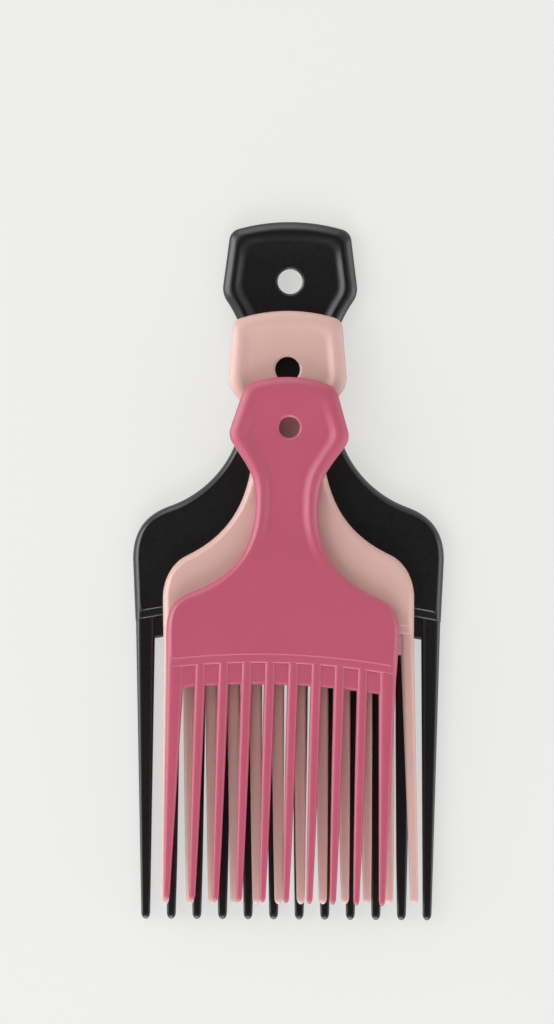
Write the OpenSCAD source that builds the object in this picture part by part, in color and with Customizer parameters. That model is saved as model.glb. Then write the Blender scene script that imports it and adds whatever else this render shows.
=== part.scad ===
// Three one-piece hair picks of one design in three sizes, nested flat on one another.
// X runs across the teeth, Y from the tooth tips to the heads, Z is the thickness.
// The origin is the middle of the large pick's outline, on the surface that the set lies on.
// Each pick is a head, a body with its web and tooth roots, and a row of teeth that meets the roots.

/* [Large pick] */
// Length from the tooth tips to the top of the head
large_length = 174.6; // [160:0.2:200]
// Thickness of the head, neck and shoulders
large_thickness = 4.2; // [3.8:0.1:5]
// Width at the shoulders
large_shoulder_w = 77.8; // [72:0.2:86]
// How much narrower the body is at the lip than at the shoulders
large_lip_in = 1.4; // [-3:0.1:4]
// Width across the tooth tips
large_tips_w = 72.6; // [68:0.2:86]
// Greatest width of the head
large_head_w = 34; // [30:0.2:38]
// Width of the head between its top corners
large_crown_w = 30; // [26:0.2:31]
// Narrowest width of the neck
large_neck_w = 23.4; // [16:0.2:26]
// From the top of the head down to the middle of the hang hole
large_hole_drop = 14.9; // [13:0.1:16]
// From the top of the head down to its widest point
large_head_drop = 18; // [16:0.1:20]
// From the top of the head down to the narrowest point of the neck
large_neck_drop = 46; // [38:0.2:48]
// From the top of the head down to where the shoulders end
large_shoulder_drop = 84.4; // [80:0.2:90]
// From the top of the head down to the lip, at the middle
large_lip_drop = 96.1; // [95:0.2:105]
// Number of teeth
large_teeth_count = 12; // [8:1:13]
// Width of an inner tooth at the lip
large_tooth_w = 4.0; // [3:0.1:4.4]
// Width of an outer tooth at the lip
large_outer_tooth_w = 5; // [4:0.1:6]
// Width of a tooth just above its rounded tip
large_tip_w = 2.2; // [1.4:0.1:2.8]
// Radius of the hang hole
large_hole_r = 3.1; // [2:0.1:3.6]

/* [Medium pick] */
// Length from the tooth tips to the top of the head
medium_length = 148.4; // [140:0.2:158]
// Thickness of the head, neck and shoulders
medium_thickness = 3.9; // [3.6:0.1:5]
// Width at the shoulders
medium_shoulder_w = 62.8; // [58:0.2:70]
// How much narrower the body is at the lip than at the shoulders
medium_lip_in = -0.1; // [-3:0.1:3]
// Width across the tooth tips
medium_tips_w = 65; // [58:0.2:70]
// Greatest width of the head
medium_head_w = 29.8; // [28:0.2:34]
// Width of the head between its top corners
medium_crown_w = 27.4; // [24:0.2:29.4]
// Narrowest width of the neck
medium_neck_w = 17; // [14:0.2:22]
// From the top of the head down to the middle of the hang hole
medium_hole_drop = 14.6; // [13:0.1:16]
// From the top of the head down to its widest point
medium_head_drop = 18.4; // [16:0.1:20]
// From the top of the head down to the narrowest point of the neck
medium_neck_drop = 29.6; // [28:0.2:36]
// From the top of the head down to where the shoulders end
medium_shoulder_drop = 72; // [66:0.2:74]
// From the top of the head down to the lip, at the middle
medium_lip_drop = 78.8; // [78:0.2:86]
// Number of teeth
medium_teeth_count = 12; // [8:1:13]
// Width of an inner tooth at the lip
medium_tooth_w = 3.4; // [2.4:0.1:3.8]
// Width of an outer tooth at the lip
medium_outer_tooth_w = 3.5; // [3:0.1:4.5]
// Width of a tooth just above its rounded tip
medium_tip_w = 2; // [1.2:0.1:2.4]
// Radius of the hang hole
medium_hole_r = 3.1; // [2:0.1:3.6]
// From the large pick's tips up to the medium pick's tips
medium_tips_rise = 3.9; // [0:0.1:8]
// Sideways shift of the medium pick's tips
medium_shift = 0.8; // [-3:0.1:3]
// Lean of the medium pick, in degrees
medium_lean = 0.56; // [-2:0.02:2]

/* [Small pick] */
// Length from the tooth tips to the top of the head
small_length = 131.5; // [124:0.2:138]
// Thickness of the head, neck and shoulders
small_thickness = 3.7; // [3.4:0.1:5]
// Width at the shoulders
small_shoulder_w = 58.2; // [54:0.2:62]
// How much narrower the body is at the lip than at the shoulders
small_lip_in = 0.4; // [-3:0.1:3]
// Width across the tooth tips
small_tips_w = 55.6; // [52:0.2:62]
// Greatest width of the head
small_head_w = 30.6; // [28:0.2:34]
// Width of the head between its top corners
small_crown_w = 22.8; // [19:0.2:26]
// Narrowest width of the neck
small_neck_w = 15.6; // [13:0.1:20]
// From the top of the head down to the middle of the hang hole
small_hole_drop = 12.6; // [11.5:0.1:14]
// From the top of the head down to its widest point
small_head_drop = 15.1; // [14:0.1:17]
// From the top of the head down to the narrowest point of the neck
small_neck_drop = 32.8; // [30:0.2:36]
// From the top of the head down to where the shoulders end
small_shoulder_drop = 64.2; // [58:0.2:65]
// From the top of the head down to the lip, at the middle
small_lip_drop = 71.6; // [70:0.2:78]
// Number of teeth
small_teeth_count = 10; // [7:1:11]
// Width of an inner tooth at the lip
small_tooth_w = 2.9; // [2.4:0.1:3.6]
// Width of an outer tooth at the lip
small_outer_tooth_w = 4.2; // [3.4:0.1:5]
// Width of a tooth just above its rounded tip
small_tip_w = 1.5; // [1.1:0.1:2]
// Radius of the hang hole
small_hole_r = 2.6; // [2:0.1:3.2]
// From the large pick's tips up to the small pick's tips
small_tips_rise = 4.3; // [0:0.1:8]
// Sideways shift of the small pick's tips
small_shift = -3.1; // [-5:0.1:5]
// Lean of the small pick, in degrees
small_lean = -1.5; // [-3:0.02:3]

/* [Edges and lip] */
// Height of the arc at the top of each head, above its corners
crown_rise = 2.4; // [1.5:0.1:3.2]
// Length that each corner of a head is rounded over
corner_round = 2; // [1:0.1:2.6]
// Width of the rounded edge around a head
head_edge_w = 1.8; // [1:0.1:2]
// Width of the rounded edge along neck, shoulders and teeth
edge_w = 1.1; // [0.8:0.1:1.4]
// Flat band around the outside of every edge, in the thickness
edge_land = 1; // [0.6:0.1:1.4]
// Radius of the arch that the lip and the web follow
arch_r = 193; // [140:1:400]
// Width of the slope above the lip
lip_slope_w = 2.5; // [1.5:0.1:3]

/* [Web and teeth] */
// Height of the thin web between the teeth, below the lip
web_h = 5.4; // [3.5:0.1:7]
// Thickness of the web
web_thickness = 1.7; // [1.2:0.1:2.2]
// Thickness of the teeth at the lip
tooth_thickness = 2.9; // [2.4:0.1:3.1]
// Thickness of the teeth at the tips
tip_thickness = 1.5; // [1:0.1:2]
// Width of the rounded edge along an inner tooth, at the lip
tooth_edge_w = 0.85; // [0.5:0.05:1]
// Length that the end of a tooth is rounded over
tip_round = 1.2; // [0.8:0.1:1.6]
// Length of tooth root below the web, where the row of teeth starts
root_stub = 0.9; // [0.8:0.1:2]

/* [Dish and hang hole] */
// Width of the flat rim between the rounded edge and the dish
rim_w = 1.1; // [0.6:0.1:1.4]
// Width of the sloping wall of the dish
dish_wall_w = 1.9; // [1:0.1:2.2]
// Depth of the dish in each face
dish_depth = 0.75; // [0.4:0.05:0.9]
// Width of the sloping mouth of the hang hole
mouth_w = 0.4; // [0.2:0.05:0.7]

/* [Hidden] */

// One value for each pick: large, medium, small
length = [large_length, medium_length, small_length];
thickness = [large_thickness, medium_thickness, small_thickness];
shoulder_w = [large_shoulder_w, medium_shoulder_w, small_shoulder_w];
lip_w = shoulder_w - [large_lip_in, medium_lip_in, small_lip_in];
tips_w = [large_tips_w, medium_tips_w, small_tips_w];
head_w = [large_head_w, medium_head_w, small_head_w];
crown_w = [large_crown_w, medium_crown_w, small_crown_w];
neck_w = [large_neck_w, medium_neck_w, small_neck_w];
hole_y = length - [large_hole_drop, medium_hole_drop, small_hole_drop];
head_y = length - [large_head_drop, medium_head_drop, small_head_drop];
neck_y = length - [large_neck_drop, medium_neck_drop, small_neck_drop];
shoulder_y = length - [large_shoulder_drop, medium_shoulder_drop, small_shoulder_drop];
lip_y = length - [large_lip_drop, medium_lip_drop, small_lip_drop];
teeth_count = [large_teeth_count, medium_teeth_count, small_teeth_count];
tooth_w = [large_tooth_w, medium_tooth_w, small_tooth_w];
outer_tooth_w = [large_outer_tooth_w, medium_outer_tooth_w, small_outer_tooth_w];
tip_w = [large_tip_w, medium_tip_w, small_tip_w];
hole_r = [large_hole_r, medium_hole_r, small_hole_r];

// Where each pick lies in the nest: its tips, and the level of its middle plane
tips_x = [0, medium_shift, small_shift];
tips_y = [0, medium_tips_rise, small_tips_rise] - [1, 1, 1] * large_length / 2;
lean = [0, medium_lean, small_lean];
middle_z = [
    large_thickness / 2,
    large_thickness + medium_thickness / 2,
    large_thickness + medium_thickness + small_thickness / 2,
];

// Overrun of cuts, as a share of the web, and the smoothness of round holes
overrun_share = 0.5;
overrun = web_thickness * overrun_share;
round_fn = 72;
arch_fn = 360;

// Points along each stretch of the outline, and where along it the dish fades out and ends
crown_steps = 4;
corner_steps = 4;
neck_steps = 7;
waist_steps = 10;
shoulder_steps = 7;
lip_steps = 8;
fade_steps = 5;
dish_last = crown_steps + 2 * (corner_steps + 1) + neck_steps + fade_steps - 1;

// Angles from the middle plane to the face, round an edge, and how far the lip's slope has run in there
edge_angles = [0, 25, 50, 70, 90];
lip_slope_shares = [0, 0, 0, 0.35, 1];

// Directions in which the outline leaves the head and crosses the shoulders, in degrees from upright
head_flare = 34;
shoulder_flare = [70.5, 64.2, 68.3];

// Shares that shape the outline: handles of its curves, and where the shoulder curve turns over
corner_handle_share = 0.6;
neck_handle_share = [0.45, 0.49, 0.5];
waist_handle_share = [0.34, 0.46, 0.385];
turn_share = [0.655, 0.745, 0.68];
shoulder_handle_share = [0.6, 0.54, 0.65];

// Where a head meets its body, as a share of the way from its widest point down to the neck
head_end_share = 0.25;

// Pitch of the inner teeth against that of equal gaps at the lip, and of equally spaced tips
lip_pitch_share = [1, 1.02, 1];
tip_pitch_share = [1, 0.966, 0.977];

// Shares that shape a tooth: the width of an inner one between tip and lip, its edge, and its rounded end
tooth_belly_shares = [[0, 0], [0.2, 0.37], [0.6, 0.78], [1, 1]];
tooth_edge_shares = [[0, 0], [0.12, 0.55], [0.45, 0.88], [1, 1]];
tip_end_shares = [[0, 0.35], [0.25, 0.75], [1, 1]];
root_end_share = 0.85;
root_rise_share = 0.7;

// Shares that shape the wall of the dish: how far in, and how deep
dish_wall_shares = [[0, 0], [0.3, 0.45], [0.65, 0.85], [1, 1]];

function mix(a, b, share) = a + (b - a) * share;

// A point on the curve that starts at p[0], ends at p[3] and is drawn by the handles between
function on_curve(p, t) =
    p[0] * pow(1 - t, 3) + 3 * p[1] * t * pow(1 - t, 2) + 3 * p[2] * pow(t, 2) * (1 - t) + p[3] * pow(t, 3);

// The points of that curve after its start
function curve(p, steps) = [for (k = [1:steps]) on_curve(p, k / steps)];

// A corner at c, rounded from a to b
function rounded(a, c, b, steps) =
    concat([a], curve([a, mix(a, c, corner_handle_share), mix(b, c, corner_handle_share), b], steps));

function unit(v) = v / norm(v);

// How far an arc of radius r falls below its top, at x from its middle
function arc_fall(r, x) = r - sqrt(r * r - x * x);

function crown_r(i) = (pow(crown_w[i] / 2, 2) + pow(crown_rise, 2)) / (2 * crown_rise);

// The shift that draws a corner in by one unit, between edges that face n1 and n2
function corner_in(n1, n2) = -(n1 + n2) / (1 + n1 * n2);

// The right half of the outline, from beside the middle of the crown to the end of the shoulder,
// drawn in by the given distance
function outline(i, in = 0) =
    let (
        half_crown = crown_w[i] / 2,
        corner_out = [half_crown, length[i] - crown_rise],
        widest_out = [head_w[i] / 2, head_y[i]],
        side = unit(corner_out - widest_out),
        flare = [-sin(head_flare), -cos(head_flare)],
        across = [sin(shoulder_flare[i]), -cos(shoulder_flare[i])],
        crown_facing = [half_crown, crown_r(i) - arc_fall(crown_r(i), half_crown)] / crown_r(i),
        side_facing = [side[1], -side[0]],
        flare_facing = [-flare[1], flare[0]],
        across_facing = [-across[1], across[0]],
        corner = corner_out + corner_in(crown_facing, side_facing) * in,
        widest = widest_out + corner_in(side_facing, flare_facing) * in,
        neck_start = widest + flare * corner_round,
        neck_out = [neck_w[i] / 2, neck_y[i]],
        neck = neck_out - [in, 0],
        neck_run = (neck_start[1] - neck[1]) * neck_handle_share[i],
        shoulder_out = [shoulder_w[i] / 2, shoulder_y[i]],
        shoulder = shoulder_out - [in, 0],
        spread = shoulder_out[0] - neck_out[0],
        drop = neck_out[1] - shoulder_out[1],
        turn = neck_out + [spread, -drop] * turn_share[i] - across_facing * in,
        waist_run = [drop, spread] * waist_handle_share[i],
        shoulder_run = [spread, drop] * (1 - turn_share[i]) * shoulder_handle_share[i],
        crown_end = corner[0] - corner_round,
        crown_top = length[i] - in
    )
    concat(
        [
            for (k = [0 : crown_steps - 1])
                let (x = crown_end * (k + 0.5) / crown_steps)
                [x, crown_top - arc_fall(crown_r(i), x)]
        ],
        rounded(
            [crown_end, crown_top - arc_fall(crown_r(i), crown_end)],
            corner,
            corner - side * corner_round,
            corner_steps
        ),
        rounded(widest + side * corner_round, widest, neck_start, corner_steps),
        curve([neck_start, neck_start + flare * neck_run, neck + [0, neck_run], neck], neck_steps),
        curve([neck, neck - [0, waist_run[0]], turn - across * waist_run[1], turn], waist_steps),
        curve([turn, turn + across * shoulder_run[0], shoulder + [0, shoulder_run[1]], shoulder], shoulder_steps)
    );

// The way inwards at each point of the outline, for one unit
function inwards(i) = (outline(i, edge_w) - outline(i)) / edge_w;

// Width of the rounded edge at height y of pick i
function edge_w_at(i, y) = lookup(y, [[neck_y[i], edge_w], [head_y[i], head_edge_w]]);

// Height of the lip at x, and of the bottom of the web
function lip_y_at(i, x) = lip_y[i] - arc_fall(arch_r, x);
function web_y_at(i, x) = lip_y_at(i, x) - web_h;

// The right half of the closed outline, drawn in for step k round the edge
function half_ring(i, k) =
    let (
        p = outline(i),
        way = inwards(i),
        in_share = 1 - cos(edge_angles[k]),
        lip_in = lip_slope_w * lip_slope_shares[k],
        lip_end = [lip_w[i] / 2, lip_y_at(i, lip_w[i] / 2)],
        shoulder = p[len(p) - 1],
        above_lip = mix(lip_end, shoulder, (lip_slope_w + edge_w) / (shoulder[1] - lip_end[1]))
    )
    concat(
        [for (j = [0 : len(p) - 1]) p[j] + way[j] * edge_w_at(i, p[j][1]) * in_share],
        [above_lip - [edge_w * in_share, 0]],
        [lip_end + [-edge_w * in_share, lip_in]],
        [
            for (j = [lip_steps - 1 : -1 : 0])
                let (x = lip_end[0] * (j + 0.5) / lip_steps)
                [x, lip_y_at(i, x) + lip_in]
        ]
    );

// The right half of a line of the dish, as far as it runs, drawn in from the rounded edge
function half_dish(i, in) =
    let (p = outline(i), way = inwards(i))
    [for (j = [0:dish_last]) p[j] + way[j] * (edge_w_at(i, p[j][1]) + in)];

// Depth share of the dish at each of those points: it deepens from the crown down to the widest
// point, stays deep down to the neck, and then fades out
function dish_depth_share(i, j) =
    let (
        rise = max(outline(i)[j][1] - head_y[i], 0) / (length[i] - head_y[i]),
        fade = max(j - dish_last + fade_steps, 0) / fade_steps
    )
    1 - pow(rise, 2) - pow(fade, 2);

// A line and its mirror image, turning left seen from above
function both_sides(half, heights) =
    concat(
        [for (j = [0 : len(half) - 1]) [-half[j][0], half[j][1], heights[j]]],
        [for (j = [len(half) - 1 : -1 : 0]) [half[j][0], half[j][1], heights[j]]]
    );

function level_ring(i, k, z) =
    let (half = half_ring(i, k))
    both_sides(half, [for (p = half) z]);

function dish_ring(i, row, face, facing) =
    let (
        in = rim_w + dish_wall_w * dish_wall_shares[row][0],
        depth = dish_depth * dish_wall_shares[row][1],
        shares = [for (j = [0:dish_last]) dish_depth_share(i, j)]
    )
    both_sides(
        half_dish(i, in),
        [for (share = shares) facing * (face - depth * share)]
    );

function reversed(list) = [for (j = [len(list) - 1 : -1 : 0]) list[j]];

// Faces between rings of n points, from ring 0 to the last one
function band_faces(n, last) =
    [
        for (k = [0 : last - 1])
        for (j = [0 : n - 1])
            let (next = (j + 1) % n)
            [k * n + j, (k + 1) * n + j, (k + 1) * n + next, k * n + next]
    ];

// A solid through rings of equally many points, closed at both ends
module loft(rings) {
    n = len(rings[0]);
    last = len(rings) - 1;
    first_end = [for (j = [0 : n - 1]) j];
    polyhedron(
        points = [for (r = rings) each r],
        faces = concat([first_end], [[for (j = reversed(first_end)) last * n + j]], band_faces(n, last))
    );
}

// Faces of one side of the slab, whose outermost line starts at point ring_start and has 2 * m points,
// and whose dish lines start at the points in row_starts
function face_with_dish(ring_start, m, row_starts) =
    let (
        n = dish_last + 1,
        rows = len(row_starts),
        left = function (r, j) r < 0 ? ring_start + j : row_starts[r] + j,
        right = function (r, j) r < 0 ? ring_start + 2 * m - 1 - j : row_starts[r] + 2 * n - 1 - j,
        floor_row = rows - 1
    )
    concat(
        [for (r = [-1 : rows - 2]) [left(r, 0), right(r, 0), right(r + 1, 0), left(r + 1, 0)]],
        [
            for (r = [-1 : rows - 2])
            for (j = [0 : dish_last - 1])
                [left(r, j), left(r + 1, j), left(r + 1, j + 1), left(r, j + 1)]
        ],
        [
            for (r = [-1 : rows - 2])
            for (j = [0 : dish_last - 1])
                [right(r, j), right(r, j + 1), right(r + 1, j + 1), right(r + 1, j)]
        ],
        [
            for (j = [0 : dish_last - 1])
                [left(floor_row, j), right(floor_row, j), right(floor_row, j + 1), left(floor_row, j + 1)]
        ],
        [concat(
            [for (r = [-1 : floor_row]) left(r, dish_last)],
            [for (r = [floor_row : -1 : -1]) right(r, dish_last)],
            [for (j = [dish_last + 1 : m - 1]) right(-1, j)],
            [for (j = [m - 1 : -1 : dish_last + 1]) left(-1, j)]
        )]
    );

// Head, neck and shoulders down to the lip, with a rounded edge and a dish in each face
module slab(i) {
    half_t = thickness[i] / 2;
    half_land = edge_land / 2;
    last_angle = len(edge_angles) - 1;
    rises = [for (a = edge_angles) half_land + (half_t - half_land) * sin(a)];
    rings = concat(
        [for (k = [last_angle : -1 : 0]) level_ring(i, k, -rises[k])],
        [for (k = [0 : last_angle]) level_ring(i, k, rises[k])]
    );
    last_ring = len(rings) - 1;
    n = len(rings[0]);
    row_n = 2 * (dish_last + 1);
    rows = [for (r = [0 : len(dish_wall_shares) - 1]) r];
    edge_count = n * len(rings);
    dish_count = row_n * len(rows);
    polyhedron(
        points = concat(
            [for (r = rings) each r],
            [for (r = rows) each dish_ring(i, r, half_t, 1)],
            [for (r = rows) each dish_ring(i, r, half_t, -1)]
        ),
        faces = concat(
            band_faces(n, last_ring),
            face_with_dish(last_ring * n, n / 2, [for (r = rows) edge_count + r * row_n]),
            [
                for (f = face_with_dish(0, n / 2, [for (r = rows) edge_count + dish_count + r * row_n]))
                    reversed(f)
            ]
        )
    );
}

// The hang hole with a sloping mouth at each dish, as one turned form
module hang_hole(i) {
    floor_z = thickness[i] / 2 - dish_depth;
    wall_z = floor_z - mouth_w;
    mouth_r = hole_r[i] + 2 * mouth_w;
    mouth_z = floor_z + mouth_w;
    translate([0, hole_y[i], 0])
        rotate_extrude($fn = round_fn)
            polygon([
                [0, -mouth_z],
                [mouth_r, -mouth_z],
                [hole_r[i], -wall_z],
                [hole_r[i], wall_z],
                [mouth_r, mouth_z],
                [0, mouth_z]
            ]);
}

// The thin web between the teeth, cut to the arch
module web(i) {
    half_w = (lip_w[i] - outer_tooth_w[i]) / 2;
    bottom_y = web_y_at(i, half_w) - overrun;
    translate([0, 0, -web_thickness / 2])
        linear_extrude(web_thickness)
            difference() {
                translate([-half_w, bottom_y])
                    square([2 * half_w, lip_y[i] + overrun - bottom_y]);
                translate([0, lip_y[i] - web_h - arch_r])
                    circle(r = arch_r, $fn = arch_fn);
            }
}

function is_outer(i, k) = k == 0 || k == teeth_count[i] - 1;

// Width of tooth k of pick i, at a share of the way from the tip line to the lip
function tooth_w_at(i, k, share) =
    is_outer(i, k) ? mix(tip_w[i], outer_tooth_w[i], share)
    : mix(tip_w[i], tooth_w[i], lookup(share, tooth_belly_shares));

// How many pitches tooth k is from the middle of the row
function pitches(i, k) = k - (teeth_count[i] - 1) / 2;

// Middle of tooth k at its root and at its tip
function gap_w(i) =
    (lip_w[i] - 2 * outer_tooth_w[i] - (teeth_count[i] - 2) * tooth_w[i]) / (teeth_count[i] - 1);
function root_x(i, k) =
    is_outer(i, k) ? sign(pitches(i, k)) * (lip_w[i] - outer_tooth_w[i]) / 2
    : pitches(i, k) * (tooth_w[i] + gap_w(i)) * lip_pitch_share[i];
function tip_x(i, k) =
    pitches(i, k) * (tips_w[i] - tip_w[i]) / (teeth_count[i] - 1) * (is_outer(i, k) ? 1 : tip_pitch_share[i]);

// Left and right edge of tooth k: the outer edges of the row run straight on from the body's sides
function left_x(i, k, share) =
    k == 0 ? -mix(tips_w[i], lip_w[i], share) / 2
    : k == teeth_count[i] - 1 ? -left_x(i, 0, share) - tooth_w_at(i, k, share)
    : mix(tip_x(i, k), root_x(i, k), share) - tooth_w_at(i, k, share) / 2;
function right_x(i, k, share) = left_x(i, k, share) + tooth_w_at(i, k, share);

// Section of tooth k at height y, drawn in to the given size share about its middle
function tooth_ring(i, k, y, size_share = 1) =
    let (
        share = y / lip_y[i],
        left = left_x(i, k, share),
        right = right_x(i, k, share),
        centre = (left + right) / 2,
        half_t = mix(tip_thickness, tooth_thickness, share) / 2,
        inner_edge = tooth_edge_w * tooth_w_at(i, k, share) / tooth_w[i],
        left_edge = k == 0 ? max(inner_edge, edge_w * share) : inner_edge,
        right_edge = k == teeth_count[i] - 1 ? max(inner_edge, edge_w * share) : inner_edge,
        e = tooth_edge_shares,
        last = len(e) - 1,
        section = concat(
            [for (j = [0 : last]) [left + left_edge * e[j][0], half_t * e[j][1]]],
            [for (j = [last : -1 : 0]) [right - right_edge * e[j][0], half_t * e[j][1]]],
            [for (j = [1 : last]) [right - right_edge * e[j][0], -half_t * e[j][1]]],
            [for (j = [last : -1 : 1]) [left + left_edge * e[j][0], -half_t * e[j][1]]]
        )
    )
    [for (p = section) [mix(centre, p[0], size_share), y, p[1] * size_share]];

// Height at which tooth k leaves the handle node
function split_y(i, k) = web_y_at(i, root_x(i, k)) - root_stub;

// The root of tooth k, from just below the web up to the lip and into the body, where it narrows
module tooth_root(i, k) {
    outer_x = abs(root_x(i, k)) + tooth_w_at(i, k, 1) / 2;
    loft([
        tooth_ring(i, k, split_y(i, k)),
        tooth_ring(i, k, lip_y_at(i, outer_x)),
        tooth_ring(i, k, lip_y_at(i, outer_x) + lip_slope_w * root_rise_share, root_end_share)
    ]);
}

// Tooth k, from its rounded tip to the root
module tooth(i, k) {
    inner_shares = [for (b = [1 : len(tooth_belly_shares) - 2]) tooth_belly_shares[b][0]];
    loft(concat(
        [for (s = tip_end_shares) tooth_ring(i, k, tip_round * s[0], s[1])],
        [for (share = inner_shares) tooth_ring(i, k, lip_y[i] * share)],
        [tooth_ring(i, k, split_y(i, k))]
    ));
}

// Puts a pick at its place in the nest
module place(i) {
    translate([tips_x[i], tips_y[i], middle_z[i]])
        rotate(lean[i])
            children();
}

// Height at which a head meets its body
function head_end_y(i) = mix(head_y[i], neck_y[i], head_end_share);

// A block wider and thicker than the slab of a pick, between two heights, that cuts it
module cutter(i, from_y, to_y) {
    half_w = max(shoulder_w[i], lip_w[i], head_w[i]) / 2 + overrun;
    half_t = thickness[i] / 2 + overrun;
    translate([-half_w, from_y, -half_t])
        cube([2 * half_w, to_y - from_y, 2 * half_t]);
}

module head(i) {
    place(i)
        difference() {
            slab(i);
            hang_hole(i);
            cutter(i, 0, head_end_y(i));
        }
}

module body(i) {
    place(i) {
        difference() {
            slab(i);
            cutter(i, head_end_y(i), length[i] + overrun);
        }
        web(i);
        for (k = [0 : teeth_count[i] - 1])
            tooth_root(i, k);
    }
}

module teeth(i) {
    place(i)
        for (k = [0 : teeth_count[i] - 1])
            tooth(i, k);
}

module large_head() {
    color([0.12, 0.11, 0.12])
        head(0);
}

module large_body() {
    color([0.12, 0.11, 0.12])
        body(0);
}

module large_teeth() {
    color([0.15, 0.14, 0.15])
        teeth(0);
}

module medium_head() {
    color([0.82, 0.70, 0.66])
        head(1);
}

module medium_body() {
    color([0.82, 0.70, 0.66])
        body(1);
}

module medium_teeth() {
    color([0.80, 0.67, 0.63])
        teeth(1);
}

module small_head() {
    color([0.72, 0.35, 0.44])
        head(2);
}

module small_body() {
    color([0.72, 0.35, 0.44])
        body(2);
}

module small_teeth() {
    color([0.76, 0.38, 0.46])
        teeth(2);
}

large_head();
large_body();
large_teeth();
medium_head();
medium_body();
medium_teeth();
small_head();
small_body();
small_teeth();
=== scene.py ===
"""Looks of a set of three nested one-piece hair picks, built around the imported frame.

Each pick is a moulded plate, with head, dish, hang hole, lip and web, and a row of teeth.
Shapes are drawn in a pick's own plane: its tooth tips lie on y = 0, its head is at +y,
x runs across the teeth and z = 0 is its middle plane. Then it is put in its place in the nest.
Lengths are in metres, apart from the two tables of sizes, which are in millimetres.
"""

from math import atan2, cos, pi, radians, sin, sqrt

import bmesh
import bpy
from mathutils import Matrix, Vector
from mathutils.kdtree import KDTree


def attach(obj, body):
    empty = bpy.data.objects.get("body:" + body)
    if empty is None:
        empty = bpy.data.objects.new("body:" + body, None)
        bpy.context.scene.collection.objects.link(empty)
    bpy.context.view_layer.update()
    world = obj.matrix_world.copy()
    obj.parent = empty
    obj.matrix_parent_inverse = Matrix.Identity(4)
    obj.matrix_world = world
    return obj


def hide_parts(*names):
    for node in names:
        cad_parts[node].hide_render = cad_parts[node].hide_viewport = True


bl_info = {
    "name": "Nested hair picks",
    "version": (1, 0, 0),
    "blender": (4, 5, 0),
    "location": "View3D > Sidebar > Hair picks",
    "description": "Builds three nested one-piece hair picks and a plain stage for them",
    "category": "Mesh",
}

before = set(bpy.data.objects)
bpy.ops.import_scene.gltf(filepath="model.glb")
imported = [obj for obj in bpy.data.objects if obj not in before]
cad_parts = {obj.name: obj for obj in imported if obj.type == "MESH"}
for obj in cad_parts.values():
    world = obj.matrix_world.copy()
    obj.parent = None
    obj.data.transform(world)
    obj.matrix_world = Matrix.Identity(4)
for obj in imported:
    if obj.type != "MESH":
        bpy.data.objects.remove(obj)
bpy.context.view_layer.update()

MM = 0.001
PICKS = ("large", "medium", "small")

# name: (label and description, large, medium, small), in millimetres
PICK_SIZES = {
    "length": ("Length from the tooth tips to the top of the head", 174.6, 148.4, 131.5),
    "thickness": ("Thickness of the head, neck and shoulders", 4.2, 3.9, 3.7),
    "shoulder_w": ("Width at the shoulders", 77.8, 62.8, 58.2),
    "lip_w": ("Width of the body at the lip", 76.4, 62.6, 57.5),
    "tips_w": ("Width across the tooth tips", 72.6, 64.4, 55.4),
    "head_w": ("Greatest width of the head", 34, 29.8, 30.6),
    "crown_w": ("Width of the head between its top corners", 30, 27.4, 22.8),
    "neck_w": ("Narrowest width of the neck", 23.4, 17, 15.6),
    "hole_drop": ("From the top of the head down to the hang hole", 14.9, 14.6, 12.6),
    "head_drop": ("From the top of the head down to its widest point", 18, 18.4, 15.1),
    "neck_drop": ("From the top of the head down to the neck", 46, 29.6, 32.8),
    "shoulder_drop": ("From the top of the head down to the shoulders' end", 84.4, 72, 64.2),
    "lip_drop": ("From the top of the head down to the lip", 96.1, 78.8, 71.6),
    "tooth_w": ("Width of an inner tooth at the lip", 4, 3.4, 2.9),
    "outer_tooth_w": ("Width of an outer tooth at the lip", 5, 3.5, 4.55),
    "tip_w": ("Width of a tooth just above its tip", 2.2, 2, 1.5),
    "hole_r": ("Radius of the hang hole", 3.1, 3.1, 2.6),
    "tips_rise": ("From the large pick's tips up to this pick's tips", 0, 3.9, 4.3),
    "shift": ("Sideways shift of this pick's tips", 0, 0.8, -3.1),
}
TEETH = {"large": 12, "medium": 12, "small": 10}
LEAN = {"large": 0, "medium": radians(0.56), "small": radians(-1.5)}

# name: (label and description, millimetres)
SHARED_SIZES = {
    "crown_rise": ("Height of the arc at the top of each head", 2.4),
    "corner_round": ("Length that each corner of a head is rounded over", 2),
    "head_edge_w": ("Width of the rounded edge around a head", 2.2),
    "edge_w": ("Width of the rounded edge along neck, shoulders and teeth", 1.5),
    "edge_land": ("Flat band around the outside of every edge", 1),
    "arch_r": ("Radius of the arch that the lip and the web follow", 193),
    "lip_slope_w": ("Width of the slope above the lip", 2.5),
    "web_h": ("Height of the thin web between the teeth", 5.4),
    "web_thickness": ("Thickness of the web", 2.3),
    "tooth_thickness": ("Thickness of the teeth at the lip", 3.1),
    "tip_thickness": ("Thickness of the teeth at the tips", 1.5),
    "tooth_edge_w": ("Width of the rounded edge along an inner tooth", 1.15),
    "tip_round": ("Length that the end of a tooth is rounded over", 1.6),
    "rim_w": ("Width of the flat rim around the dish", 0.5),
    "dish_wall_w": ("Width of the sloping wall of the dish", 2.3),
    "dish_depth": ("Depth of the dish in each face", 0.75),
    "mouth_w": ("Width of the rounded mouth of the hang hole", 0.8),
    "mouth_h": ("Depth of the rounded mouth of the hang hole", 0.45),
    "parting_h": ("Height of the fine parting line round the edge", 0.02),
}

# How the sides lean in below the head, and out at the shoulders, against the pick's long axis
HEAD_FLARE = radians(34)
SHOULDER_FLARE = {"large": radians(70.5), "medium": radians(64.2), "small": radians(68.3)}
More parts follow.
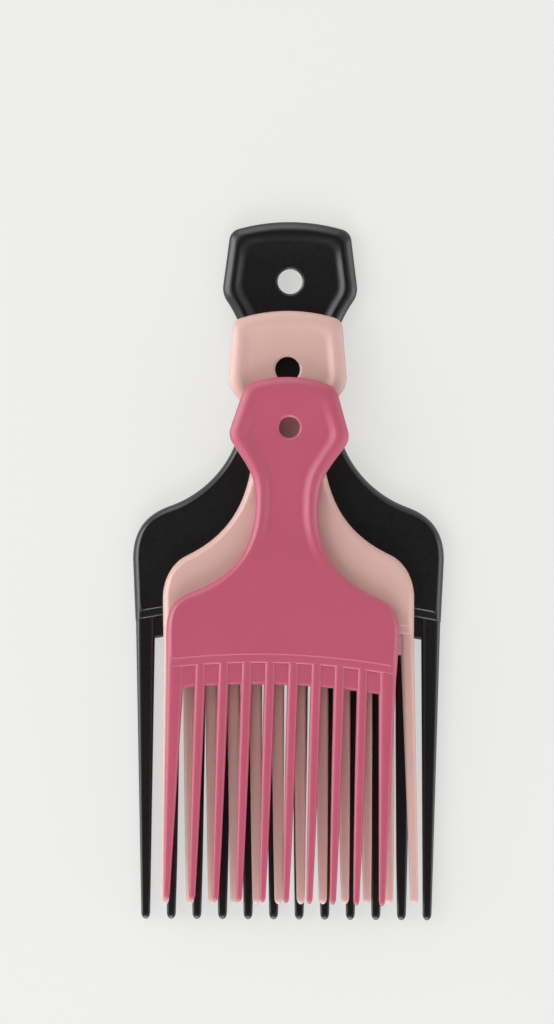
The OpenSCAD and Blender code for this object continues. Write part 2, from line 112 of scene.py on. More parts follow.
# Lengths of the curves' handles, as shares of the way that each curve runs
CORNER_HANDLE = 0.6
NECK_HANDLE = {"large": 0.45, "medium": 0.49, "small": 0.5}
WAIST_HANDLE = {"large": 0.34, "medium": 0.46, "small": 0.385}
SHOULDER_HANDLE = {"large": 0.6, "medium": 0.54, "small": 0.65}
# Share of the way from the neck to the shoulder where the line turns from hollow to round
TURN = {"large": 0.655, "medium": 0.745, "small": 0.68}

# Pitch of the inner teeth against that of equal gaps at the lip, and of equally spaced tips
LIP_PITCH = {"large": 1, "medium": 1.025, "small": 1.017}
TIP_PITCH = {"large": 1, "medium": 0.975, "small": 0.98}
# Share of the way from the tip line to the lip, and how far an inner tooth has widened there
TOOTH_BELLY = ((0, 0), (0.2, 0.37), (0.6, 0.78), (1, 1))

# Points along each stretch of an outline
CROWN_STEPS = 14
CORNER_STEPS = 9
SIDE_STEPS = 12
NECK_STEPS = 20
WAIST_STEPS = 28
FADE_STEPS = 14
SHOULDER_STEPS = 20
LIP_STEPS = 36
HOLE_STEPS = 96

# From the middle plane to the face: degrees round the edge, and run and rise of the lip's slope
EDGE_STEPS = (
    (0, 0, 0),
    (14, 0, 0.25),
    (27, 0, 0.45),
    (39, 0.01, 0.58),
    (49, 0.04, 0.68),
    (57, 0.1, 0.745),
    (64, 0.18, 0.785),
    (70, 0.32, 0.82),
    (75, 0.8, 0.865),
    (80, 0.86, 0.905),
    (85, 0.93, 0.97),
    (90, 1, 1),
)
# Power that flattens the rounded edge to a soft chamfer
EDGE_POWER = 1.3
# Share of the rim at which the dish's first line runs, so that the rim ends in a crisp line
RIM_SHARE = 0.97
# Lines down the dish's wall, and the power that steepens the wall's start
WALL_STEPS = 12
WALL_POWER = 0.8
# Shares of the head, above its widest point, between which the dish fades out
DISH_FADE = {"large": (0.4, 1), "medium": (0.4, 1), "small": (0.05, 0.85)}
# Share of the dish's depth down to which an open edge is still part of the flat face
FACE_SHARE = 0.001
# Degrees round the rounded mouth of a hang hole
MOUTH_ANGLES = (0, 22.5, 45, 67.5, 90)
# Degrees from a tooth's side to its face, and the power that fills the rounding out
TOOTH_ANGLES = (0, 9, 19, 30, 42, 54, 66, 78, 90)
TOOTH_POWER = 0.6
# Degrees round the end of a tooth, and sections from there to its root
TIP_ANGLES = (9, 20, 32, 44, 56, 68, 80, 90)
TOOTH_STATIONS = 16
# Share of the lip's slope that a tooth runs in under, and the size it is drawn in to there
ROOT_RUN = 0.6
ROOT_SIZE = 0.86
# Degrees round the web's lower edge, and its depth as a share of half the web's thickness
WEB_ANGLES = (-90, -60, -30, 0, 30, 60, 90)
WEB_ROUND = 0.8

# How far each face stays inside its pick, so that two picks never share a plane
CONTACT_GAP = 0.01 * MM
# Points this close together are one point, where the halves meet and after the cut
MIRROR_GAP = 0.002 * MM
WELD_GAP = 0.001 * MM
# Faces that meet at less than this are shaded as one; large faces lead the shading
SMOOTH_ANGLE = radians(32)
FACE_WEIGHT = 80


def mix(a, b, share):
    """The value at a share of the way from a to b."""
    return a + (b - a) * share


def on_curve(p, t):
    """A point on the curve from p[0] to p[3], drawn by the handles between."""
    s = 1 - t
    return p[0] * s**3 + p[1] * (3 * t * s**2) + p[2] * (3 * t**2 * s) + p[3] * t**3


def curve(p, steps):
    """Points along a curve, without its first one."""
    return [on_curve(p, k / steps) for k in range(1, steps + 1)]


def rounded(a, corner, b):
    """Points from a to b round a corner."""
    handles = [a, mix(a, corner, CORNER_HANDLE), mix(b, corner, CORNER_HANDLE), b]
    return [a] + curve(handles, CORNER_STEPS)


def smooth_step(share):
    """A share that starts and ends gently."""
    return share * share * (3 - 2 * share)


def look_up(table, share):
    """The value at a share of the way along a table of pairs."""
    for (x0, y0), (x1, y1) in zip(table, table[1:]):
        if share <= x1:
            break
    return mix(y0, y1, (share - x0) / (x1 - x0))


def arc_fall(r, x):
    """How far an arc of radius r falls below its top, at x from its middle."""
    return r - sqrt(r * r - x * x)


def corner_in(n1, n2):
    """The shift that draws a corner in by one unit, between edges that face n1 and n2."""
    return -(n1 + n2) / (1 + n1.dot(n2))


class PickShape:
    """The lines of one pick, worked out from its sizes."""

    def __init__(self, name, sizes, shared):
        self.name = name
        for key in PICK_SIZES:
            setattr(self, key, getattr(sizes, key))
        for key in SHARED_SIZES:
            setattr(self, key, getattr(shared, key))
        self.teeth = sizes.teeth
        self.lean = sizes.lean
        self.hole_y = self.length - self.hole_drop
        self.head_y = self.length - self.head_drop
        self.neck_y = self.length - self.neck_drop
        self.shoulder_y = self.length - self.shoulder_drop
        self.lip_y = self.length - self.lip_drop
        self.half_t = self.thickness / 2 - CONTACT_GAP
        self.half_land = self.edge_land / 2
        self.line = self.outline(0)
        drawn_in = self.outline(self.edge_w)
        self.way = [(b - a) / self.edge_w for a, b in zip(self.line, drawn_in)]
        head_points = CROWN_STEPS + 2 * CORNER_STEPS + SIDE_STEPS + 1
        self.fade_start = head_points + NECK_STEPS - 1
        self.dish_points = self.fade_start + FADE_STEPS + 1

    def outline(self, inset):
        """Right half of the outline, from beside the crown's middle to the shoulder's end."""
        half_crown = self.crown_w / 2
        crown_r = (half_crown**2 + self.crown_rise**2) / (2 * self.crown_rise)
        corner_out = Vector((half_crown, self.length - self.crown_rise))
        widest_out = Vector((self.head_w / 2, self.head_y))
        side = (corner_out - widest_out).normalized()
        flare = Vector((-sin(HEAD_FLARE), -cos(HEAD_FLARE)))
        tilt = SHOULDER_FLARE[self.name]
        across = Vector((sin(tilt), -cos(tilt)))
        crown_facing = Vector((half_crown, crown_r - arc_fall(crown_r, half_crown))) / crown_r
        side_facing = Vector((side.y, -side.x))
        flare_facing = Vector((-flare.y, flare.x))
        across_facing = Vector((-across.y, across.x))
        corner = corner_out + corner_in(crown_facing, side_facing) * inset
        widest = widest_out + corner_in(side_facing, flare_facing) * inset
        neck_start = widest + flare * self.corner_round
        neck_out = Vector((self.neck_w / 2, self.neck_y))
        neck = neck_out - Vector((inset, 0))
        neck_run = (neck_start.y - neck.y) * NECK_HANDLE[self.name]
        shoulder_out = Vector((self.shoulder_w / 2, self.shoulder_y))
        shoulder = shoulder_out - Vector((inset, 0))
        spread = shoulder_out.x - neck_out.x
        drop = neck_out.y - shoulder_out.y
        turn_share = TURN[self.name]
        turn = neck_out + Vector((spread, -drop)) * turn_share - across_facing * inset
        waist = WAIST_HANDLE[self.name]
        rest = (1 - turn_share) * SHOULDER_HANDLE[self.name]
        crown_end = corner.x - self.corner_round
        crown_top = self.length - inset
        steps = [crown_end * (k + 0.5) / CROWN_STEPS for k in range(CROWN_STEPS)]
        line = [Vector((x, crown_top - arc_fall(crown_r, x))) for x in steps]
        start = Vector((crown_end, crown_top - arc_fall(crown_r, crown_end)))
        line += rounded(start, corner, corner - side * self.corner_round)
        side_end = widest + side * self.corner_round
        line += [mix(line[-1], side_end, k / SIDE_STEPS) for k in range(1, SIDE_STEPS)]
        line += rounded(side_end, widest, neck_start)
        up = Vector((0, 1))
        handles = [neck_start, neck_start + flare * neck_run, neck + up * neck_run, neck]
        line += curve(handles, NECK_STEPS)
        handles = [neck, neck - up * drop * waist, turn - across * spread * waist, turn]
        line += curve(handles, WAIST_STEPS)
        handles = [turn, turn + across * spread * rest, shoulder + up * drop * rest, shoulder]
        return line + curve(handles, SHOULDER_STEPS)

    def edge_w_at(self, y):
        """Width of the rounded edge at y: it grows from the neck to the head."""
        share = min(max((y - self.neck_y) / (self.head_y - self.neck_y), 0), 1)
        return mix(self.edge_w, self.head_edge_w, share)

    def lip_y_at(self, x):
        """Height of the arched lip at x."""
        return self.lip_y - arc_fall(self.arch_r, x)

    def whole(self, half):
        """A closed line from the points of its right half, turning left seen from above."""
        return [Vector((-p.x, p.y, p.z)) for p in half] + half[::-1]

    def edge_ring(self, angle, lip_run, lip_rise):
        """A line of the rounded edge and of the lip, at an angle from the middle plane."""
        rise = self.half_t - self.half_land
        side_z = self.half_land + rise * sin(angle) ** EDGE_POWER
        lip_z = self.half_land + rise * lip_rise
        share = 1 - cos(angle) ** EDGE_POWER
        return self.ring(share, side_z, self.lip_slope_w * lip_run, lip_z)

    def ring(self, share, side_z, lip_in, lip_z, out=0):
        """A closed line, drawn in by a share of the rounded edge, or out by a length."""
        half = []
        for p, way in zip(self.line, self.way):
            q = p + way * (self.edge_w_at(p.y) * share - out)
            half.append(Vector((q.x, q.y, side_z)))
        run = self.edge_w * share - out
        end = Vector((self.lip_w / 2, self.lip_y_at(self.lip_w / 2)))
        shoulder = self.line[-1]
        above = mix(end, shoulder, (self.lip_slope_w + self.edge_w) / (shoulder.y - end.y))
        half.append(Vector((above.x - run, above.y, side_z)))
        half.append(Vector((end.x - run, end.y + lip_in - out, lip_z)))
        for j in range(LIP_STEPS - 1, -1, -1):
            x = (end.x - run) * (j + 0.5) / LIP_STEPS
            half.append(Vector((x, self.lip_y_at(x) + lip_in - out, lip_z)))
        return self.whole(half)

    def head_share(self, y, start, end):
        """How far y is through part of the head above its widest point, eased."""
        rise = (y - self.head_y) / (self.length - self.head_y)
        return smooth_step(min(max((rise - start) / (end - start), 0), 1))

    def floor_z(self, y):
        """Height of the dish's floor at y: it rises to the face towards the crown."""
        return self.half_t - self.dish_depth * (1 - self.head_share(y, *DISH_FADE[self.name]))

    def dish_line(self, inset, share):
        """Both sides' line of the dish, some way in from the face, at a share of the depth."""
        half = []
        for j in range(self.dish_points):
            p = self.line[j]
            q = p + self.way[j] * (self.edge_w_at(p.y) + inset)
            fade = (1 - (max(j - self.fade_start, 0) / FADE_STEPS) ** 2) ** 2
            half.append(Vector((q.x, q.y, mix(self.half_t, self.floor_z(q.y), share * fade))))
        return self.whole(half)

    def in_row(self, k, row):
        """Middle of tooth k in a row whose outer teeth are that far apart."""
        return (k - (self.teeth - 1) / 2) * row / (self.teeth - 1)

    def root_x(self, k):
        """Middle of inner tooth k at its root."""
        row = self.lip_w - 2 * self.outer_tooth_w + self.tooth_w
        return self.in_row(k, row) * LIP_PITCH[self.name]

    def tip_x(self, k):
        """Middle of inner tooth k at its tip."""
        return self.in_row(k, self.tips_w - self.tip_w) * TIP_PITCH[self.name]

    def tooth_section(self, y, left, width, outer_edge, size):
        """A closed section of a tooth at height y, drawn in to the given size."""
        share = y / self.lip_y
        half_t = mix(self.tip_thickness, self.tooth_thickness, share) / 2
        edge = self.tooth_edge_w * width / self.tooth_w
        left_edge = max(edge, outer_edge)
        centre = left + width / 2
        angles = [radians(a) for a in TOOTH_ANGLES]
        curve_in = [(1 - cos(a), half_t * sin(a) ** TOOTH_POWER) for a in angles]
        top = [(left + left_edge * x, z) for x, z in curve_in]
        right = [(left + width - edge * x, z) for x, z in curve_in]
        line = top + right[::-1]
        line += [(x, -z) for x, z in right[1:]] + [(x, -z) for x, z in top[:0:-1]]
        return [Vector((mix(centre, x, size), y, z * size)) for x, z in line]

    def tooth_rings(self, outer):
        """Sections of a tooth from tip to root: the left outer one in place, or an inner one."""
        root_w = self.outer_tooth_w if outer else self.tooth_w
        angles = [radians(a) for a in TIP_ANGLES]
        stops = [(self.tip_round * (1 - cos(a)), sin(a)) for a in angles]
        root_x = (self.lip_w - self.outer_tooth_w) / 2 if outer else 0
        root_y = self.lip_y_at(root_x)
        for k in range(1, TOOTH_STATIONS + 1):
            stops.append((mix(self.tip_round, root_y, k / TOOTH_STATIONS), 1))
        stops.append((root_y + self.lip_slope_w * ROOT_RUN, ROOT_SIZE))
        rings = []
        for y, size in stops:
            share = y / self.lip_y
            belly = share if outer else look_up(TOOTH_BELLY, share)
            width = mix(self.tip_w, root_w, belly)
            left = -mix(self.tips_w, self.lip_w, share) / 2 if outer else -width / 2
            edge = self.edge_w * share if outer else 0
            rings.append(self.tooth_section(y, left, width, edge, size))
        return rings

    def web_rings(self):
        """Sections of the web, from its left end to its right end."""
        half_w = (self.lip_w - self.outer_tooth_w) / 2
        half_t = self.web_thickness / 2
        rings = []
        for k in range(2 * LIP_STEPS + 1):
            x = half_w * (k / LIP_STEPS - 1)
            bottom = self.lip_y_at(x) - self.web_h
            top = self.lip_y_at(x) + half_t
            line = [Vector((x, top, half_t)), Vector((x, top, -half_t))]
            for a in WEB_ANGLES:
                round_y = half_t * WEB_ROUND * (1 - cos(radians(a)))
                line.append(Vector((x, bottom + round_y, half_t * sin(radians(a)))))
            rings.append(line)
        return rings


def new_ring(name, points):
    """A circle with its vertices set on the points, open and in edit mode."""
    bpy.ops.object.select_all(action="DESELECT")
    bpy.ops.mesh.primitive_circle_add(vertices=len(points), radius=MM, fill_type="NOTHING")
    piece = bpy.context.object
    piece.name = piece.data.name = name
    bpy.ops.object.mode_set(mode="EDIT")
    mesh = bmesh.from_edit_mesh(piece.data)
    for vert, point in zip(mesh.verts, points):
        vert.co = point
    bmesh.update_edit_mesh(piece.data)
    return piece, list(range(len(points)))


def select_edges(piece, wanted):
    """Selects just the edges that the test accepts."""
    bpy.ops.mesh.select_mode(type="EDGE")
    bpy.ops.mesh.select_all(action="DESELECT")
    mesh = bmesh.from_edit_mesh(piece.data)
    mesh.verts.index_update()
    for edge in [edge for edge in mesh.edges if wanted(edge)]:
        edge.select_set(True)
    mesh.select_flush_mode()
    bmesh.update_edit_mesh(piece.data)


def select_links(piece, pairs):
    """Selects the edges between the given pairs of vertices."""
    links = {frozenset(pair) for pair in pairs}
    select_edges(piece, lambda e: frozenset(v.index for v in e.verts) in links)


def select_chain(piece, chain, closed):
    """Selects the edges along a line of vertices."""
    ends = [(chain[-1], chain[0])] if closed else []
    select_links(piece, [*zip(chain, chain[1:]), *ends])


def extrude_chain(piece, chain, points, closed=True):
    """Extrudes a line of edges and sets the new line on the points; returns its vertices."""
    select_chain(piece, chain, closed)
    bpy.ops.mesh.extrude_edges_move()
    mesh = bmesh.from_edit_mesh(piece.data)
    mesh.verts.index_update()
    mesh.verts.ensure_lookup_table()
    tree = KDTree(len(chain))
    for k, index in enumerate(chain):
        tree.insert(mesh.verts[index].co, k)
    tree.balance()
    old, made = set(chain), [None] * len(chain)
    for vert in mesh.verts:
        if vert.select and vert.index not in old:
            made[tree.find(vert.co)[1]] = vert
    for vert, point in zip(made, points):
        vert.co = point
    bmesh.update_edit_mesh(piece.data)
    return [vert.index for vert in made]


def fill_chain(piece, chain):
    """Closes a line of edges with a face."""
    select_chain(piece, chain, True)
    bpy.ops.mesh.edge_face_add()


def face_outwards():
    """Turns all faces of the edited piece outwards and leaves edit mode."""
    bpy.ops.mesh.select_all(action="SELECT")
    bpy.ops.mesh.normals_make_consistent(inside=False)
    bpy.ops.object.mode_set(mode="OBJECT")


def loft(name, rings):
    """A closed form through rings of equally many points, drawn ring by ring."""
    piece, chain = new_ring(name, rings[0])
    fill_chain(piece, chain)
    for points in rings[1:]:
        chain = extrude_chain(piece, chain, points)
    fill_chain(piece, chain)
    face_outwards()
    return piece


def only(piece, *others):
    """Selects the pieces and makes the first one active."""
    bpy.ops.object.select_all(action="DESELECT")
    for each in (piece, *others):
        each.select_set(True)
    bpy.context.view_layer.objects.active = piece


def finish_modifier(piece, kind, **settings):
    """Adds a modifier with the settings and applies it."""
    only(piece)
    modifier = piece.modifiers.new(kind.lower(), kind)
    for name, value in settings.items():
        setattr(modifier, name, value)
    bpy.ops.object.modifier_apply(modifier=modifier.name)


def half_plate(shape, name):
    """Upper half of a plate: edge, lip, rim, dish wall, dish floor and flat face."""
    parting = shape.parting_h
    piece, chain = new_ring(name, shape.ring(0, 0, 0, 0, parting))
    chain = extrude_chain(piece, chain, shape.ring(0, parting, 0, parting, parting))
    chain = extrude_chain(piece, chain, shape.ring(0, 2 * parting, 0, 2 * parting))
    for angle, lip_run, lip_rise in EDGE_STEPS:
        points = shape.edge_ring(radians(angle), lip_run, lip_rise)
        chain = extrude_chain(piece, chain, points)
    count = shape.dish_points
    line = chain[-count:] + chain[:count]
    steps = [(RIM_SHARE * shape.rim_w, 0)]
    for k in range(WALL_STEPS + 1):
        share = k / WALL_STEPS
        steps.append((shape.rim_w + shape.dish_wall_w * share, smooth_step(share**WALL_POWER)))
    for inset, share in steps:
        points = shape.dish_line(inset, share)
        line = extrude_chain(piece, line, points[count:] + points[:count], closed=False)
    right, left = line[:count], line[count:]
    select_links(piece, [*zip(left, left[1:]), *zip(right, right[1:])])
    bpy.ops.mesh.bridge_edge_loops()
    level = shape.half_t - FACE_SHARE * shape.dish_depth
    select_edges(piece, lambda e: e.is_boundary and min(v.co.z for v in e.verts) > level)
    bpy.ops.mesh.edge_face_add()
    face_outwards()
    return piece


def hole_cutter(shape):
    """The hang hole as a turned form, opening in a rounded mouth at each dish."""
    profile = [(shape.hole_r + shape.mouth_w, shape.mouth_h)]
    for a in MOUTH_ANGLES:
        r = shape.hole_r + shape.mouth_w * (1 - sin(radians(a)))
        profile.append((r, -shape.mouth_h * (1 - cos(radians(a)))))
    rings = []
    for side, part in ((1, profile), (-1, profile[::-1])):
        for r, rise in part:
            ring = []
            for k in range(HOLE_STEPS):
                a = 2 * pi * k / HOLE_STEPS
                y = shape.hole_y + r * sin(a)
                ring.append(Vector((r * cos(a), y, side * (shape.floor_z(y) + rise))))
            rings.append(ring)
    return loft("hole_cutter", rings)


def build_plate(shape):
    """One plate: the half face mirrored, the hang hole cut, the web joined on."""
    piece = half_plate(shape, shape.name + "_plate")
    finish_modifier(piece, "MIRROR", use_axis=(False, False, True), merge_threshold=MIRROR_GAP)
    cutter = hole_cutter(shape)
    finish_modifier(piece, "BOOLEAN", operation="DIFFERENCE", solver="EXACT", object=cutter)
    finish_modifier(piece, "WELD", merge_threshold=WELD_GAP)
    only(cutter)
    bpy.ops.object.delete()
    web = loft(shape.name + "_web", shape.web_rings())
    only(piece, web)
    bpy.ops.object.join()
    return piece


def build_tooth_row(shape):
    """The teeth: one inner tooth copied and fanned, and the outer pair mirrored."""
    outer = loft(shape.name + "_tooth_row", shape.tooth_rings(True))
    finish_modifier(outer, "MIRROR", use_axis=(True, False, False))
    inner = loft(shape.name + "_inner_tooth", shape.tooth_rings(False))
    copies = [inner]
    for k in range(2, shape.teeth - 1):
        only(inner)
        bpy.ops.object.duplicate()
        copies.append(bpy.context.object)
    for k, tooth in enumerate(copies, 1):
        tooth.location.x = shape.tip_x(k)
        tooth.rotation_euler.z = -atan2(shape.root_x(k) - shape.tip_x(k), shape.lip_y)
    only(outer, *copies)
    bpy.ops.object.join()
    return outer


def settle(piece, shape, body, material, nodes):
    """Smooths a piece, puts it at its place in the nest and hands it to its body."""
    only(piece)
    scene = bpy.context.scene
    lower = PICKS[: PICKS.index(shape.name)]
    below = sum(getattr(scene, "pick_" + name).thickness for name in lower)
    tips_y = shape.tips_rise - scene.pick_large.length / 2
    piece.location = (shape.shift, tips_y, below + shape.thickness / 2)
    piece.rotation_euler.z = shape.lean
    bpy.ops.object.transform_apply()
    bpy.ops.object.shade_smooth_by_angle(angle=SMOOTH_ANGLE)
    finish_modifier(piece, "WEIGHTED_NORMAL", keep_sharp=True, weight=FACE_WEIGHT)
    piece.data.materials.clear()
    piece.data.materials.append(material)
    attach(piece, body)
    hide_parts(*nodes)


# Outputs of a Texture Coordinate node and of a Separate XYZ node
OBJECT_OUT = 3
X_OUT, Z_OUT = 0, 2


class Value:
    """A shader socket that can be used in arithmetic; each step adds its Math node."""

    def __init__(self, graph, socket):
        self.graph = graph
        self.socket = socket

    def math(self, operation, a, b):
        return self.graph.node("ShaderNodeMath", {"operation": operation}, {0: a, 1: b})

    def __add__(self, other):
        return self.math("ADD", self, other)

    def __radd__(self, other):
        return self.math("ADD", other, self)

    def __sub__(self, other):
        return self.math("SUBTRACT", self, other)

    def __rsub__(self, other):
        return self.math("SUBTRACT", other, self)

    def __mul__(self, other):
        return self.math("MULTIPLY", self, other)

    def __rmul__(self, other):
        return self.math("MULTIPLY", other, self)

    def __pow__(self, other):
        return self.math("POWER", self, other)


class Graph:
    """The nodes of one material or world."""

    def __init__(self, owner):
        owner.use_nodes = True
        self.tree = owner.node_tree
        self.tree.nodes.clear()

    def node(self, kind, settings=None, inputs=None, output=0):
        """Adds a node, sets it, fills its sockets and returns one of its outputs."""
        node = self.tree.nodes.new(kind)
        for name, value in (settings or {}).items():
            setattr(node, name, value)
        for key, value in (inputs or {}).items():
            if isinstance(value, Value):
                self.tree.links.new(value.socket, node.inputs[key])
            else:
                node.inputs[key].default_value = value
        if not node.outputs:
            return None
        return Value(self, node.outputs[output])

    def seen(self):
        """One for rays from the camera, straight or by way of a mirror or glass."""
        rays = ("Is Camera Ray", "Is Glossy Ray", "Is Transmission Ray")
        camera, glossy, through = [self.node("ShaderNodeLightPath", output=ray) for ray in rays]
        return camera + glossy + through

    def place(self):
        """Object coordinates."""
        return self.node("ShaderNodeTexCoord", output=OBJECT_OUT)

    def noise(self, place, scale, detail, roughness):
        """A cloudy value from 0 to 1."""
        inputs = {"Vector": place, "Scale": scale, "Detail": detail, "Roughness": roughness}
        return self.node("ShaderNodeTexNoise", {}, inputs)

    def mottled(self, factor, colour, spread):
        """A colour that the factor takes from a little darker to a little lighter."""
        ends = [(*[min(c * k, 1) for c in colour], 1) for k in (1 - spread, 1 + spread)]
        settings = {"data_type": "RGBA"}
        return self.node("ShaderNodeMix", settings, {0: factor, 6: ends[0], 7: ends[1]}, 2)


# Scale, detail and roughness of the noises in the plastic
FLOW = (38, 3, 0.55)
CLOUD = (210, 3, 0.6)
GRAIN = (5200, 2, 0.5)
SCUFF = (900, 4, 0.7)
SINK = (85, 1, 0.4)
# Shares of flow and cloud in the mottling, and how far it takes the colour either way
MOTTLE_FLOW, MOTTLE_CLOUD = 0.7, 0.3
MOTTLE = 0.06
# How far scuffs and flow change the roughness
SCUFF_ROUGH, FLOW_ROUGH = 0.16, 0.08
# Shares of sink marks and grain in the bump
SINK_RISE, GRAIN_RISE = 0.55, 0.02
BUMP_STRENGTH = 0.5
BUMP_RISE = 0.12 * MM
PLASTIC_IOR = 1.5
PLASTIC_SPECULAR = 0.8

# name: (slot, roughness, share of light that enters, how deep, and reach of red, green, blue)
PLASTICS = {
    "large": ("black_plastic", 0.3, 0, 0.5 * MM, (1, 1, 1)),
    "medium": ("blush_plastic", 0.4, 0.3, 1.5 * MM, (1, 0.6, 0.5)),
    "small": ("pink_plastic", 0.4, 0.35, 1.5 * MM, (1, 0.3, 0.35)),
}


def moulded_plastic(colour, slot, rough, weight, depth, reach):
    """Satin moulded plastic: faint flow mottling, fine grain, soft sink marks."""
    material = bpy.data.materials.new(slot)
    g = Graph(material)
    place = g.place()
    flow, cloud, grain, scuff, sink = [
        g.noise(place, *row) for row in (FLOW, CLOUD, GRAIN, SCUFF, SINK)
    ]
    mottle = flow * MOTTLE_FLOW + cloud * MOTTLE_CLOUD
    height = sink * SINK_RISE + grain * GRAIN_RISE
    bump = {"Strength": BUMP_STRENGTH, "Distance": BUMP_RISE, "Height": height}
    inputs = {
        "Base Color": g.mottled(mottle, colour, MOTTLE),
        "Roughness": rough + (scuff - 0.5) * SCUFF_ROUGH + (flow - 0.5) * FLOW_ROUGH,
        "Normal": g.node("ShaderNodeBump", {}, bump),
        "IOR": PLASTIC_IOR,
        "Specular IOR Level": PLASTIC_SPECULAR,
        "Subsurface Weight": weight,
        "Subsurface Radius": reach,
        "Subsurface Scale": depth,
    }
    plastic = g.node("ShaderNodeBsdfPrincipled", {}, inputs)
    g.node("ShaderNodeOutputMaterial", {}, {"Surface": plastic})
    return material


def size_property(text, value):
    """A length in metres from its value in millimetres."""
    label = text.split(",")[0]
    return bpy.props.FloatProperty(
        name=label, description=text, default=value * MM, precision=5, unit="LENGTH"
    )


def pick_group(name, column):
    """The property group that holds the sizes of one pick."""
    rows = {key: size_property(row[0], row[column]) for key, row in PICK_SIZES.items()}
    rows["teeth"] = bpy.props.IntProperty(
        name="Teeth", description="Number of teeth in the row", default=TEETH[name], min=4
    )
    lean = {"default": LEAN[name], "subtype": "ANGLE"}
    rows["lean"] = bpy.props.FloatProperty(
        name="Lean", description="Lean of the pick in the nest", **lean
    )
    return type("PICKS_PG_" + name, (bpy.types.PropertyGroup,), {"__annotations__": rows})


LargeSizes = pick_group("large", 1)
MediumSizes = pick_group("medium", 2)
SmallSizes = pick_group("small", 3)
SharedSizes = type(
    "PICKS_PG_shared",
    (bpy.types.PropertyGroup,),
    {"__annotations__": {key: size_property(*row) for key, row in SHARED_SIZES.items()}},
)


def colour_property(label, text, default):
    """A plain colour."""
    return bpy.props.FloatVectorProperty(
        name=label, description=text, default=default, size=3, min=0, max=1, subtype="COLOR"
    )


class PICKS_PG_finishes(bpy.types.PropertyGroup):
    """Colours of the plastics and of the stage, and the light's level."""

    large: colour_property("Black", "Plastic of the large pick", (0.0055, 0.0045, 0.0050))
    medium: colour_property("Blush", "Plastic of the medium pick", (0.70, 0.455, 0.405))
    small: colour_property("Pink", "Plastic of the small pick", (0.50, 0.088, 0.155))
    floor: colour_property("Floor", "Paint of the plain floor", (0.8, 0.8, 0.79))
    backdrop: colour_property("Backdrop", "Colour of the floor's glow", (0.86, 0.86, 0.845))
    ambient: bpy.props.FloatProperty(
        name="Ambient", description="Level of the light at the horizon", default=0.7, min=0
    )


def build_pick(context, name):
    """One whole pick: its plate and its tooth row, in one plastic."""
    scene = context.scene
    shape = PickShape(name, getattr(scene, "pick_" + name), scene.pick_shared)
    material = moulded_plastic(getattr(scene.pick_finishes, name), *PLASTICS[name])
    body, slot = name + "_pick", PLASTICS[name][0]
    settle(build_plate(shape), shape, body, material, [name + "_head", name + "_body"])
    settle(build_tooth_row(shape), shape, body, material, [name + "_teeth"])


class PICKS_OT_large(bpy.types.Operator):
    """Build the large black pick"""

    bl_idname = "picks.large"
    bl_label = "Large pick"

    def execute(self, context):
        build_pick(context, "large")
        return {"FINISHED"}


class PICKS_OT_medium(bpy.types.Operator):
    """Build the medium blush pick"""

    bl_idname = "picks.medium"
    bl_label = "Medium pick"

    def execute(self, context):
        build_pick(context, "medium")
        return {"FINISHED"}


class PICKS_OT_small(bpy.types.Operator):
    """Build the small pink pick"""

    bl_idname = "picks.small"
    bl_label = "Small pick"

    def execute(self, context):
        build_pick(context, "small")
        return {"FINISHED"}


# The camera looks straight down from far off, at a view of this height round this point
VIEW_HEIGHT = 0.256
VIEW_CENTRE = (-0.00295, 0.01471)
VIEW_LEVEL = 0.008
VIEW_TURN = radians(0.34)
CAMERA_RISE = 4.0
SENSOR = 36
# The floor lies just below the picks' back faces, and a share of what the camera sees is glow
FLOOR_SIZE = 12
FLOOR_GAP = 0.02 * MM
FLOOR_GLOW = 0.65
FLOOR_NOISE = (6, 2, 0.5)
FLOOR_MOTTLE = 0.015
FLOOR_ROUGH = 0.8
FLOOR_SPECULAR = 0.2
# The world darkens straight up by this power, and from left to right by this share
UP_POWER = 4
SIDE_BIAS = 0.15

# name: (place, side length, power); each lamp faces the origin
LAMPS = {
    "key": ((-1.0, 0.2, 0.5), 0.9, 7.5),
    "fill": ((0.95, -0.1, 0.25), 0.8, 3.2),
    "low": ((-0.15, -1.0, 0.45), 0.8, 8),
    "back": ((-0.2, 1.0, 0.5), 0.8, 2.5),
}


def add_floor(finishes):
    """The plain floor, which keeps the shadow of the picks."""
    bpy.ops.object.select_all(action="DESELECT")
    bpy.ops.mesh.primitive_plane_add(size=FLOOR_SIZE, location=(0, 0, -FLOOR_GAP))
    floor = bpy.context.object
    floor.name = "floor"
    paint = bpy.data.materials.new("floor_paint")
    g = Graph(paint)
    base = g.mottled(g.noise(g.place(), *FLOOR_NOISE), finishes.floor, FLOOR_MOTTLE)
    matt = {"Base Color": base, "Roughness": FLOOR_ROUGH, "Specular IOR Level": FLOOR_SPECULAR}
    paper = g.node("ShaderNodeBsdfPrincipled", {}, matt)
    glow = g.node("ShaderNodeEmission", {}, {"Color": (*finishes.backdrop, 1), "Strength": 1})
    both = g.node("ShaderNodeMixShader", {}, {0: g.seen() * FLOOR_GLOW, 1: paper, 2: glow})
    g.node("ShaderNodeOutputMaterial", {}, {"Surface": both})
    floor.data.materials.append(paint)


def pale_world(ambient):
    """White light from all round, which is brightest at the horizon."""
    world = bpy.data.worlds.new("pale")
    g = Graph(world)
    place = {"Vector": g.place()}
    up = g.node("ShaderNodeSeparateXYZ", {}, place, Z_OUT)
    across = g.node("ShaderNodeSeparateXYZ", {}, place, X_OUT)
    level = (1 - up**UP_POWER) * (1 - across * SIDE_BIAS) * ambient
    around = g.node("ShaderNodeBackground", {}, {"Color": (1, 1, 1, 1), "Strength": level})
    g.node("ShaderNodeOutputWorld", {}, {"Surface": around})
    return world


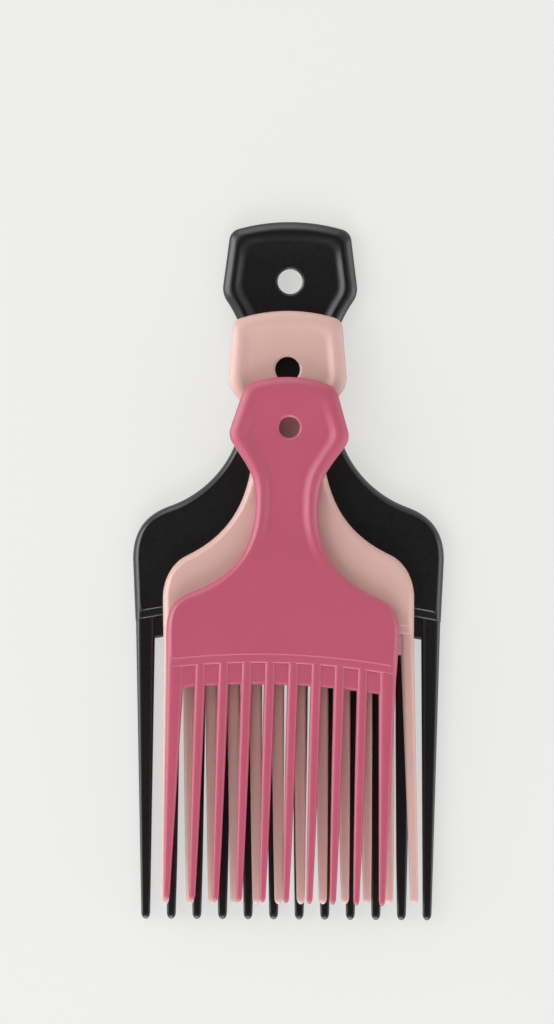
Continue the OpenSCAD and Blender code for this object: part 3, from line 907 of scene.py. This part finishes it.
class PICKS_OT_stage(bpy.types.Operator):
    """Build the plain floor, the soft lamps, the pale world and the camera"""

    bl_idname = "picks.stage"
    bl_label = "Stage"

    def execute(self, context):
        finishes = context.scene.pick_finishes
        add_floor(finishes)
        context.scene.world = pale_world(finishes.ambient)
        for name, (spot, side, power) in LAMPS.items():
            bpy.ops.object.light_add(type="AREA", location=spot)
            lamp = context.object
            lamp.name = name
            lamp.data.size = side
            lamp.data.energy = power
            lamp.rotation_euler = Vector(spot).to_track_quat("Z", "Y").to_euler()
        bpy.ops.object.camera_add(
            location=(*VIEW_CENTRE, VIEW_LEVEL + CAMERA_RISE), rotation=(0, 0, VIEW_TURN)
        )
        camera = context.object
        camera.data.sensor_width = SENSOR
        camera.data.lens = SENSOR * CAMERA_RISE / VIEW_HEIGHT
        camera.data.clip_end = 2 * FLOOR_SIZE
        context.scene.camera = camera
        context.scene.view_settings.view_transform = "Standard"
        return {"FINISHED"}


class PICKS_PT_panel(bpy.types.Panel):
    """Lists the steps and the sizes of the picks"""

    bl_idname = "PICKS_PT_panel"
    bl_label = "Hair picks"
    bl_space_type = "VIEW_3D"
    bl_region_type = "UI"
    bl_category = "Hair picks"

    def draw(self, context):
        layout = self.layout
        for operator in OPERATORS:
            layout.operator(operator.bl_idname)
        for key in GROUPS:
            group = getattr(context.scene, key)
            box = layout.box()
            box.label(text=key.replace("_", " "))
            for name in group.__annotations__:
                box.prop(group, name)


OPERATORS = (PICKS_OT_large, PICKS_OT_medium, PICKS_OT_small, PICKS_OT_stage)
GROUPS = {
    "pick_large": LargeSizes,
    "pick_medium": MediumSizes,
    "pick_small": SmallSizes,
    "pick_shared": SharedSizes,
    "pick_finishes": PICKS_PG_finishes,
}


def register():
    for cls in (*GROUPS.values(), *OPERATORS, PICKS_PT_panel):
        bpy.utils.register_class(cls)
    for key, cls in GROUPS.items():
        setattr(bpy.types.Scene, key, bpy.props.PointerProperty(type=cls))


def unregister():
    for key in GROUPS:
        delattr(bpy.types.Scene, key)
    for cls in (PICKS_PT_panel, *reversed(OPERATORS), *reversed(GROUPS.values())):
        bpy.utils.unregister_class(cls)


def main():
    register()
    bpy.ops.picks.large()
    bpy.ops.picks.medium()
    bpy.ops.picks.small()
    bpy.ops.picks.stage()


if __name__ == "__main__":
    main()
